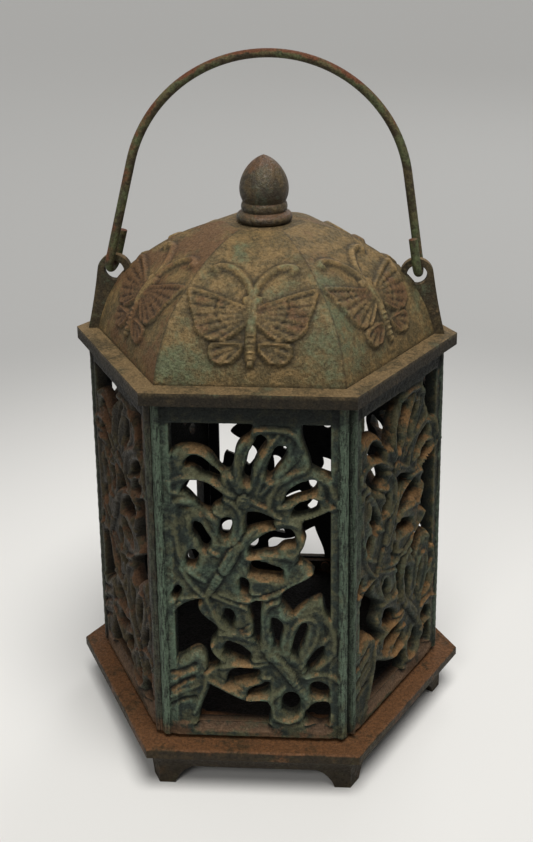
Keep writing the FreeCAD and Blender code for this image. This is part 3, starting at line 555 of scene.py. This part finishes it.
def cut_skin(left, right, low, high):
    """A flat face with its holes cut out: points, distances to a hole's edge, and polygons."""
    xs, zs = np.linspace(left, right, cells_across + 1), np.linspace(low, high, cells_up + 1)
    points = np.stack(np.meshgrid(xs, zs), axis=2).reshape(-1, 2)
    gap, _ = distance_to(points, hole_edges[:, 0], hole_edges[:, 1])
    for number, (x, z) in enumerate(points):
        if abs(x) < 0.043 and gap[number] < 0.03 and not metal_at(x, z):
            gap[number] *= -1
    step = xs[1] - xs[0]
    slope_z, slope_x = np.gradient(gap.reshape(cells_up + 1, cells_across + 1), step)
    slope = np.stack([slope_x.ravel(), slope_z.ravel()], axis=1)
    slope /= np.maximum(np.linalg.norm(slope, axis=1), 1e-9)[:, None]
    close = np.abs(gap) < 0.3 * step
    points[close] -= slope[close] * gap[close, None]
    gap[close] = 0
    kept = gap >= 0
    corner = (np.arange(cells_up)[:, None] * (cells_across + 1) + np.arange(cells_across)).ravel()
    cells = np.stack([corner, corner + 1, corner + cells_across + 2, corner + cells_across + 1], axis=1)
    whole = kept[cells].all(1)
    polygons = [tuple(cell) for cell in cells[whole].tolist()]
    extra, crossings = [], {}
    for cell in cells[kept[cells].any(1) & ~whole].tolist():
        loop = []
        for first, second in zip(cell, cell[1:] + cell[:1]):
            if kept[first]:
                loop.append(first)
            if kept[first] == kept[second] or gap[first if kept[first] else second] == 0:
                continue
            key = (min(first, second), max(first, second))
            if key not in crossings:
                share = gap[first] / (gap[first] - gap[second])
                crossings[key] = len(points) + len(extra)
                extra.append(points[first] + share * (points[second] - points[first]))
            loop.append(crossings[key])
        loop = [point for number, point in enumerate(loop) if point != loop[number - 1]]
        if len(loop) > 2:
            polygons.append(tuple(loop))
    points = np.vstack([points, extra])
    gap = np.concatenate([gap, np.zeros(len(extra))])
    used = np.unique(np.concatenate([np.array(loop) for loop in polygons]))
    renumber = np.full(len(points), -1)
    renumber[used] = np.arange(len(used))
    return points[used], gap[used], [tuple(renumber[list(loop)].tolist()) for loop in polygons]


def casting(points, gap, polygons, left_side, right_side):
    """Closes the carved face into a casting: walls down its holes and edges, and a flat back."""
    sides = dict.fromkeys(pair for loop in polygons for pair in zip(loop, loop[1:] + loop[:1]))
    rim = np.array([pair for pair in sides if (pair[1], pair[0]) not in sides])
    edge_points = np.unique(rim)
    run = points[rim[:, 1]] - points[rim[:, 0]]
    outward = np.stack([run[:, 1], -run[:, 0]], axis=1)
    normal = np.zeros_like(points)
    np.add.at(normal, rim[:, 0], outward)
    np.add.at(normal, rim[:, 1], outward)
    normal /= np.maximum(np.linalg.norm(normal, axis=1), 1e-12)[:, None]
    at_limit = np.minimum(np.abs(points - points.min(0)), np.abs(points - points.max(0))) < 1e-7
    on_left = np.abs(points[:, 0] - points[:, 0].min()) < 1e-7
    depth = -carving(points, gap)
    back = points.copy()
    for profile, sign in ((left_side, -1), (right_side, 1)):
        limit = profile["face_x"][-1]
        near = points[:, 0] * sign > corner_from
        x = points[near, 0] * sign
        depth[near] = np.maximum(depth[near] * rising(limit - x, 0.0012), 0) \
            + np.interp(x, profile["face_x"], profile["face_depth"]) \
            + np.minimum(depth[near], 0) * rising(limit - x, 0.002)
        near = points[:, 0] * sign > stile_inner
        share = (points[near, 0] * sign - stile_inner) / (limit - stile_inner)
        back[near, 0] = sign * (stile_inner + share * (profile["back_x"] - stile_inner))
    # The holes narrow a little towards the back, so that the casting leaves its mould
    draft = 0.00045
    back_rim = back + normal * draft * ~at_limit.any(1)[:, None]
    back[edge_points] = back_rim[edge_points]
    front = np.stack([points[:, 0], face_y + depth, points[:, 1]], axis=1)
    rear = np.stack([back[:, 0], np.full(len(points), face_y + panel_depth), back[:, 1]], axis=1)
    count, edge_count = len(points), len(edge_points)
    rings = []
    for share in (0.28, 0.62, 0.93):
        ring = front[edge_points] * (1 - share) + rear[edge_points] * share
        if "bulge" in left_side:
            side = on_left[edge_points]
            ring[side, 0] = left_side["bulge"](ring[side, 1])
        rings.append(ring)
    vertices = np.vstack([front, rear] + rings)
    between = [2 * count + number * edge_count + np.arange(edge_count) for number in range(len(rings))]
    layers = [edge_points] + between + [edge_points + count]
    a, b = np.searchsorted(edge_points, rim).T
    faces = polygons + [tuple(count + point for point in reversed(loop)) for loop in polygons]
    for upper, lower in zip(layers, layers[1:]):
        faces += np.stack([upper[b], upper[a], lower[a], lower[b]], axis=1).tolist()
    wall, rear_side = np.zeros(len(vertices)), np.zeros(len(vertices))
    wall[np.concatenate(layers[1:])] = 1
    rear_side[count:2 * count] = 1
    return vertices, faces, {"raised": face_y - vertices[:, 1], "wall": wall, "back": rear_side}


def relief_marks(faces, raised, reach, full):
    """Crests and hollows: how far each point stands above or below the mean of its surroundings."""
    count = len(raised)
    start, end = np.array([(a, b) for loop in faces for a, b in zip(loop, loop[1:] + loop[:1])]).T
    share = np.maximum(np.bincount(start, minlength=count) + np.bincount(end, minlength=count), 1)
    mean = raised.copy()
    for _ in range(reach):
        total = np.bincount(start, mean[end], count) + np.bincount(end, mean[start], count)
        mean = 0.5 * mean + 0.5 * total / share
    return rising(raised - mean, full), rising(mean - raised, full)


def masks_on(vertices, faces, marks):
    """Where rust, verdigris and dirt settle on a panel, and where painted shade and highlight fall, from its shape
    and place.
    """
    x, z = vertices[:, 0], vertices[:, 2]
    wide, tall = np.abs(x), (z - plinth_z) / panel_tall
    wall, back = marks["wall"], marks["back"]
    front = 1 - np.maximum(wall, back)
    bead = rising(wide - bead_from, 0.0006) * front
    strip = rising(wide - stile_inner + 0.0004, 0.0006) * (1 - bead) * front
    foot = np.clip(1.3 - tall / 0.045, 0, 1)
    # Painted shadow of the flange on the top rail
    top_rail_shadow = rising(tall - 0.93, 0.02) * (1 - 0.5 * bead)
    # Crests get pale wear with a painted highlight, and hollows dirt with painted shade
    crest, hollow = relief_marks(faces, marks["raised"], 14, 0.0007)
    # Painted shade: hollows, the hole walls a little, and most of all the back, the lantern's dark inside; the top
    # rail is darkened further as painted shadow
    hollow = np.clip(hollow + wall * 0.2 + back * 1.2, 0, 1.15)
    hollow = np.where(back > 0, hollow, np.clip(hollow + top_rail_shadow * 0.85, 0, 0.95))
    bloom = bead * (0.66 + 0.22 * (x < 0)) + strip * 0.45 * (x < 0) - foot * 0.6 - top_rail_shadow * 0.9 - (1 - front) * 0.35
    rusting = foot * 0.6 + strip * (0.05 + 0.12 * (x > 0)) - top_rail_shadow * 0.6 + wall * 0.1 - bead * 0.2
    return {"hollow": hollow, "crest": crest * front, "bloom": bloom, "rusting": rusting,
            "scratch": bead * (1 - top_rail_shadow)}


def turn_about_axis(vertices, degrees):
    angle = np.radians(degrees)
    x, y, z = vertices.T
    return np.stack([x * np.cos(angle) - y * np.sin(angle), x * np.sin(angle) + y * np.cos(angle), z], axis=1)


def panel_iron(name, ground, verdigris, rust, olive, bloom, rusting):
    """Panel iron, whose ochre rust turns red-brown at the foot of the panel."""
    made = iron_skin(name, ground, verdigris, rust, olive, bloom, rusting, tuple(panel_masks))
    tree = made.node_tree
    group = next(node for node in tree.nodes if node.type == "GROUP")
    foot = stretched(tree, object_place(tree)["Z"], plinth_z + 0.010, plinth_z + 0.0065, "LINEAR")
    tree.links.new(mixed(tree, foot, (*rust, 1), (0.080, 0.047, 0.026, 1)), group.inputs["Rust"])
    return made


def dull_steel(*nodes):
    """Screws, pins and nuts are carried over as they are, and have browned all over."""
    for node in nodes:
        finish_node(node, iron_skin(node + "_steel", (0.04, 0.03, 0.022), (0.06, 0.06, 0.04),
                                    (0.12, 0.055, 0.025), (0.05, 0.04, 0.025), 0.1, 0.2))


plain_side = {"face_x": (0.0443, 0.0449, half_wide), "face_depth": (0.0, 0.0004, 0.0018), "back_x": back_half_wide}
panel_skin = cut_skin(-half_wide, half_wide, plinth_z, plinth_z + panel_tall)
plain_panel = casting(*panel_skin, plain_side, plain_side)
panel_masks = masks_on(*plain_panel)
# Each panel's turn, then its ground, verdigris, rust and olive, and how much verdigris and rust it has
panel_finishes = {
    "panel_front": (0, (0.018, 0.026, 0.021), (0.064, 0.092, 0.062), (0.145, 0.088, 0.038), (0.064, 0.065, 0.035),
                    0.18, -0.2),
    "panel_rear_right": (120, (0.014, 0.019, 0.017), (0.058, 0.082, 0.056), (0.120, 0.068, 0.03),
                         (0.060, 0.058, 0.030), 0.12, -0.1),
    "panel_rear": (180, (0.014, 0.020, 0.018), (0.058, 0.086, 0.058), (0.120, 0.072, 0.033), (0.060, 0.060, 0.032),
                   0.15, -0.15),
    "panel_rear_left": (240, (0.016, 0.017, 0.013), (0.055, 0.074, 0.048), (0.100, 0.052, 0.023),
                        (0.052, 0.046, 0.023), 0.05, 0.0),
    "panel_front_left": (300, (0.016, 0.013, 0.008), (0.034, 0.040, 0.026), (0.062, 0.030, 0.013),
                         (0.034, 0.026, 0.012), -0.05, 0.05)}
for name, (degrees, *finish) in panel_finishes.items():
    piece = new_piece(name + "_cast", turn_about_axis(plain_panel[0], degrees), plain_panel[1],
                      panel_iron(name + "_iron", *finish), panel_masks)
    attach(piece, "lantern")
    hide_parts(name)
dull_steel("base_screws", "roof_screws")

# The door is the same casting, hung on two steel pins: its hinge edge is rounded about them, it is a
# little shorter than its opening, and a round boss on its inside carries the turn button, a small
# cast lever on a screw, which drops behind the lip of the base.
pin_x = -0.0385
hinge_round = 0.006069
door_play = 0.0004
back_y = face_y + panel_depth
boss_x, boss_z, boss_radius, boss_sides = 0.038, plinth_z + 0.0215, 0.0032, 28
# How much wider each ring of the boss is than its stem, and how far it stands off the door's inside
boss_profile = ((0.0009, -0.0002), (0.0002, 0.0006), (0.0, 0.0012), (0.0, 0.0037), (-0.0003, 0.004))
# Painted shade on the door's inside and its boss
door_inside_shade = 0.72


def hinge_edge(y):
    """Outline of the rounded hinge edge at a distance from the axis plane of the pins."""
    off = y - face_y - panel_depth / 2
    return pin_x - np.sqrt(np.clip(hinge_round ** 2 - off ** 2, 0, None))


def bands(rows):
    """Quads between closed rows of numbered points, each row to the next."""
    after = np.roll(rows, -1, axis=1)
    return np.stack([rows[:-1], after[:-1], after[1:], rows[1:]], axis=2).reshape(-1, 4).tolist()


hinge_side = {"face_x": (0.04363, 0.0442, hinge_round - pin_x), "face_depth": (0.0, 0.0012, panel_depth / 2),
              "back_x": 0.04363, "bulge": hinge_edge}
door_skin = cut_skin(pin_x - hinge_round, half_wide, plinth_z + door_play, plinth_z + panel_tall - door_play)
door_cast = casting(*door_skin, hinge_side, plain_side)
spokes = 2 * math.pi * np.arange(boss_sides) / boss_sides
boss = np.vstack([np.stack([boss_x + (boss_radius + wider) * np.cos(spokes), np.full(boss_sides, back_y + off),
                            boss_z + (boss_radius + wider) * np.sin(spokes)], axis=1)
                  for wider, off in boss_profile])
boss_rows = len(door_cast[0]) + np.arange(len(boss)).reshape(-1, boss_sides)
# The door's inside and its boss are painted darker as shade, though less so than the fixed panels' insides
door_masks = masks_on(*door_cast)
door_masks["hollow"] = np.where(door_cast[2]["back"] > 0, door_inside_shade, door_masks["hollow"])
door_masks = {label: np.concatenate([values, np.full(len(boss), door_inside_shade if label == "hollow" else 0.0)])
              for label, values in door_masks.items()}
door = new_piece("door_cast", turn_about_axis(np.vstack([door_cast[0], boss]), 60),
                 door_cast[1] + bands(boss_rows) + [boss_rows[-1].tolist()],
                 panel_iron("door_iron", (0.013, 0.018, 0.013), (0.046, 0.066, 0.044), (0.118, 0.064, 0.024),
                            (0.050, 0.045, 0.022), 0.12, -0.1), door_masks)
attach(door, "door")
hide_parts("door_panel")
dull_steel("hinge_pin_top", "hinge_pin_bottom", "turn_button", "turn_button_screw")

# The roof is one casting: a flange over the panels, a curved six-sided dome with crisp hips, and an
# ear at each side. A butterfly stands in low relief on every face of the dome. The flange and the
# ears are the exact solid, and the dome's faces are a fine skin over it that carries the relief.
flange_z = 0.2134
crown_face = 0.0181
face_rows, face_columns = 96, 84
dome_skin = 0.0015
dome_probe = ray_tree(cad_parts["roof"].data)
rays = []
for angle in np.linspace(0.02, 1.55, 420):
    towards = Vector((0, -math.cos(angle), math.sin(angle)))
    hit = dome_probe.ray_cast(Vector((0, 0, flange_z - 0.012)) + towards * 0.2, -towards, 0.3)[0]
    if hit and hit.z > flange_z + 0.0003 and -hit.y > crown_face:
        rays.append((-hit.y, hit.z))
foot_slope = (rays[1][0] - rays[0][0]) / (rays[1][1] - rays[0][1])
profile = np.array([(rays[0][0] - foot_slope * (rays[0][1] - flange_z + 0.001), flange_z - 0.001)] + rays)
run_up = np.concatenate([[0], np.cumsum(np.hypot(*np.diff(profile, axis=0).T))])
stations = np.linspace(0, run_up[-1], face_rows + 1)
face_out = np.interp(stations, run_up, profile[:, 0])
face_up = np.interp(stations, run_up, profile[:, 1])
lean = np.stack([np.gradient(face_up, stations), -np.gradient(face_out, stations)], axis=1)

# One half of the butterfly, in millimetres from its middle line and shares of the way up the face
roof_wings = (
    ((2.5, 0.424), (9.4, 0.460), (18.9, 0.505), (27.2, 0.535), (30.6, 0.529), (29.8, 0.457), (28.6, 0.405),
     (27.0, 0.360), (26.2, 0.315), (24.0, 0.275), (21.4, 0.258), (18.5, 0.240), (15.0, 0.246), (11.5, 0.245),
     (5.8, 0.287), (2.0, 0.333)),
    ((3.6, 0.231), (10.4, 0.243), (17.9, 0.235), (19.7, 0.202), (18.8, 0.154), (16.8, 0.133), (13.9, 0.119),
     (10.6, 0.128), (8.2, 0.130), (4.0, 0.184)))
roof_veins = (
    ((3.0, 0.405), (14.0, 0.452), (28.5, 0.505)), ((3.0, 0.392), (14.0, 0.418), (29.0, 0.440)),
    ((3.0, 0.380), (14.0, 0.382), (27.4, 0.376)), ((3.0, 0.368), (12.0, 0.352), (25.6, 0.318)),
    ((3.0, 0.355), (10.0, 0.325), (21.6, 0.268)), ((3.0, 0.345), (8.0, 0.305), (15.5, 0.252)),
    ((16.0, 0.480), (17.0, 0.430), (16.6, 0.385), (14.6, 0.345), (11.6, 0.312)),
    ((5.0, 0.220), (12.0, 0.215), (19.0, 0.190)), ((5.0, 0.212), (11.0, 0.190), (17.4, 0.146)),
    ((5.0, 0.204), (9.0, 0.172), (12.6, 0.126)))
roof_feeler = ((0.4, 0.500), (1.6, 0.545), (4.6, 0.598), (8.4, 0.645), (12.6, 0.672), (16.6, 0.676), (18.8, 0.662),
               (18.0, 0.648))
# Thorax, ringed abdomen and head: top and bottom as shares, half width, height, and rings
roof_bodies = ((0.442, 0.318, 0.0033, 0.0024, 0), (0.300, 0.132, 0.0029, 0.0022, 6),
               (0.515, 0.470, 0.0030, 0.0019, 0))
roof_eye, eye_round = (2.3, 0.460), 0.0027


def on_face(points):
    return np.array([(x / 1000, share * run_up[-1]) for x, share in points])


def inside_of(points, loop):
    """Whether each point lies inside a closed line."""
    behind, ahead_of = loop[:-1], loop[1:]
    x, z = points[:, 0][:, None], points[:, 1][:, None]
    spans = (behind[:, 1] > z) != (ahead_of[:, 1] > z)
    rise = np.where(ahead_of[:, 1] == behind[:, 1], 1e-12, ahead_of[:, 1] - behind[:, 1])
    cross = (ahead_of[:, 0] - behind[:, 0]) * (z - behind[:, 1]) / rise + behind[:, 0]
    return (spans & (x < cross)).sum(1) % 2 == 1


def dome_relief(points):
    """Height of the cast butterfly over a face of the dome, at points (across, up) in metres."""
    folded = np.stack([np.abs(points[:, 0]), points[:, 1]], axis=1)
    height = np.zeros(len(points))
    wing_share = np.zeros(len(points))
    for shares in roof_wings:
        loop = smooth_run(on_face(shares), closed=True)
        away, _ = distance_to(folded, loop[:-1], loop[1:])
        away = np.where(inside_of(folded, loop), away, -away)
        wing = rising(away + 0.0003, 0.0011)
        wing = wing * wing * (3 - 2 * wing)
        height = np.maximum(height, wing * 0.00095 + 0.0006 * groove(away - 0.0012, 0.001))
        wing_share = np.maximum(wing_share, wing)
    for shares in roof_veins:
        line = smooth_run(on_face(shares))
        away, _ = distance_to(folded, line[:-1], line[1:])
        height -= 0.0005 * wing_share * groove(away, 0.0006)
        height += 0.00015 * wing_share * groove(away - 0.0019, 0.0011)
    line = smooth_run(on_face(roof_feeler))
    away, _ = distance_to(folded, line[:-1], line[1:])
    height = np.maximum(height, 0.0019 * swell(away, 0.0027))
    for top, bottom, half, tallness, rings in roof_bodies:
        top, bottom = top * run_up[-1], bottom * run_up[-1]
        along = np.clip((folded[:, 1] - bottom) / (top - bottom), 0, 1)
        away = np.hypot(folded[:, 0], folded[:, 1] - (bottom + along * (top - bottom)))
        body = tallness * np.sqrt(np.clip(1 - (away / (half * (0.7 + 0.3 * along))) ** 2, 0, 1))
        if rings:
            body = body * ringed(along, rings)
        else:
            body = body - 0.0004 * groove(folded[:, 0], 0.0005) * (body > 0)
        height = np.maximum(height, body)
    eye = np.clip(1 - (np.hypot(*(folded - on_face([roof_eye])).T) / eye_round) ** 2, 0, 1)
    return np.maximum(height, 0.0022 * np.sqrt(eye)), wing_share


def round_six(values):
    """The rows of one face, repeated for the six faces of the dome, without its last column."""
    return np.repeat(values[:, None, :-1], 6, axis=1)


def dome_points(rows, lift):
    """Points round all six faces, before each is turned to its side, at a lift off the solid."""
    out = face_out[rows, None] + lift * lean[rows, :1]
    up = face_up[rows, None] + lift * lean[rows, 1:]
    return round_six(np.stack([flat_x[rows] * (out / face_out[rows, None]), -out, up], axis=2)).reshape(-1, 3)


half_at = face_out * math.tan(math.radians(30))
flat_x = half_at[:, None] * np.linspace(-1, 1, face_columns + 1)
flat_up = np.repeat(stations[:, None], face_columns + 1, axis=1)
relief, on_wing = dome_relief(np.stack([flat_x.ravel(), flat_up.ravel()], axis=1))
relief, on_wing = relief.reshape(flat_x.shape), on_wing.reshape(flat_x.shape)
to_hip = half_at[:, None] - np.abs(flat_x)
to_ends = np.minimum(flat_up, stations[-1] - flat_up)
relief = relief * rising(to_hip, 0.0022) + 0.00025 * rising(to_ends, 0.0015) \
    - 0.00015 * rising(0.0006 - to_ends, 0.0006)
all_rows = np.arange(face_rows + 1)
inner_rows = np.append(np.arange(0, face_rows, 12), face_rows)
flat_skin = np.vstack([dome_points(all_rows, relief), dome_points(inner_rows, relief[inner_rows] * 0 - dome_skin)])
side = np.tile(np.repeat(np.arange(6), face_columns), len(all_rows) + len(inner_rows))
numbers = np.arange(len(side)).reshape(-1, 6 * face_columns)
outer, inner = numbers[:face_rows + 1], numbers[face_rows + 1:]
skin_faces = bands(np.vstack([outer, inner[::-1], outer[:1]]))


def outside_marks(values):
    """Marks of one face for all six, and none on the inner side of the skin."""
    return np.concatenate([round_six(values).ravel(), np.zeros(inner.size)])


# How much verdigris and rust each face has, from the front one on anticlockwise
face_blooms = np.array((0.16, 0.1, -0.1, -0.05, -0.1, -0.25))
face_rusts = np.array((-0.05, 0.0, 0.1, 0.1, 0.16, 0.52))
wings = outside_marks(on_wing)
hips = outside_marks(rising(0.0009 - to_hip, 0.0009))
feet = rising(0.0016 - (flat_skin[:, 2] - flange_z), 0.0016)
crown = rising(flat_skin[:, 2] - flange_z - 0.040, 0.015)
crest, hollow = relief_marks(skin_faces, outside_marks(relief), 10, 0.0005)
# Painted shade: the relief's hollows (partly dirt), the hips, the foot of the dome, and a little on the wings;
# crests get wear with a painted highlight
hollow = np.clip(0.85 * hollow + 0.55 * hips + 0.6 * feet + 0.16 * wings, 0, 1)
up_face = np.interp(flat_skin[:, 2], face_up, stations) / run_up[-1]
over_x = flat_skin[:, 0] / np.interp(flat_skin[:, 2], face_up, half_at)
# Rain has left green in the front face's lower corners and in a streak below the finial
corner = rising(np.abs(over_x) - 0.62 + 0.12 * (over_x < 0), 0.25) * rising(0.42 - up_face, 0.3)
streak = np.exp(-((flat_skin[:, 0] + 0.0085 - 0.008 * (up_face - 0.75)) / 0.0055) ** 2
                - ((up_face - 0.80) / 0.13) ** 2)
bloom = face_blooms[side] - 0.35 * wings - 0.2 * crown
bloom += (side == 0) * (0.55 * corner * (1 - 0.35 * (over_x > 0)) + 0.85 * streak)
bloom += (side == 1) * 0.35 * rising(-0.35 - over_x, 0.4) * rising(0.85 - up_face, 0.3)
rusting = face_rusts[side] + 0.5 * wings + 0.12 * crown - 0.3 * (side == 0) * np.maximum(corner, streak)
dome_masks = {"hollow": hollow, "crest": crest * 0.6, "bloom": bloom, "rusting": rusting}
dome_iron = iron_skin("dome_iron", (0.100, 0.072, 0.030), (0.104, 0.116, 0.060), (0.122, 0.065, 0.027),
                      (0.192, 0.126, 0.050), 0.05, -0.24, tuple(dome_masks), topside_rust_and_light=0.35, coarseness=0.8, gloss=0.32)
dome = new_piece("roof_dome_cast", turn_about_axis(flat_skin, 60 * side), skin_faces, dome_iron, dome_masks)
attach(dome, "lantern")


def shade_below_flange(tree, place):
    """Painted shade on the flange's side and all below it."""
    return sums(tree, "MULTIPLY", stretched(tree, place["Z"], flange_z - 0.0004, flange_z - 0.0022, "LINEAR"), 0.8)


# The roof's flange side and underside are painted darker as shade
finish_node("roof", iron_skin("roof_iron", (0.045, 0.034, 0.019), (0.075, 0.095, 0.058), (0.175, 0.118, 0.056),
                              (0.085, 0.062, 0.030), 0.12, -0.05, shade_mask=shade_below_flange))
soften_edges("roof")

# The finial is a cast acorn knob over two rings, rubbed smoother than the rest. Its steel stud goes
# down through the top of the dome, and a washer and a nut hold it from inside.
finish_node("finial", iron_skin("finial_iron", (0.036, 0.025, 0.013), (0.048, 0.064, 0.042), (0.092, 0.047, 0.020),
                                (0.086, 0.058, 0.024), 0.2, 0.0, coarseness=0.6, gloss=0.4, dulness=0.66))
dull_steel("finial_stud", "finial_washer", "finial_nut")

# The handle is one steel wire, bent to an arch, with its ends hooked through the ears of the roof
# and turned up. It swings, and its wire has gone olive and red-brown.
finish_node("handle", iron_skin("handle_iron", (0.045, 0.034, 0.018), (0.085, 0.105, 0.045), (0.125, 0.045, 0.020),
                                (0.110, 0.090, 0.040), 0.35, 0.1))
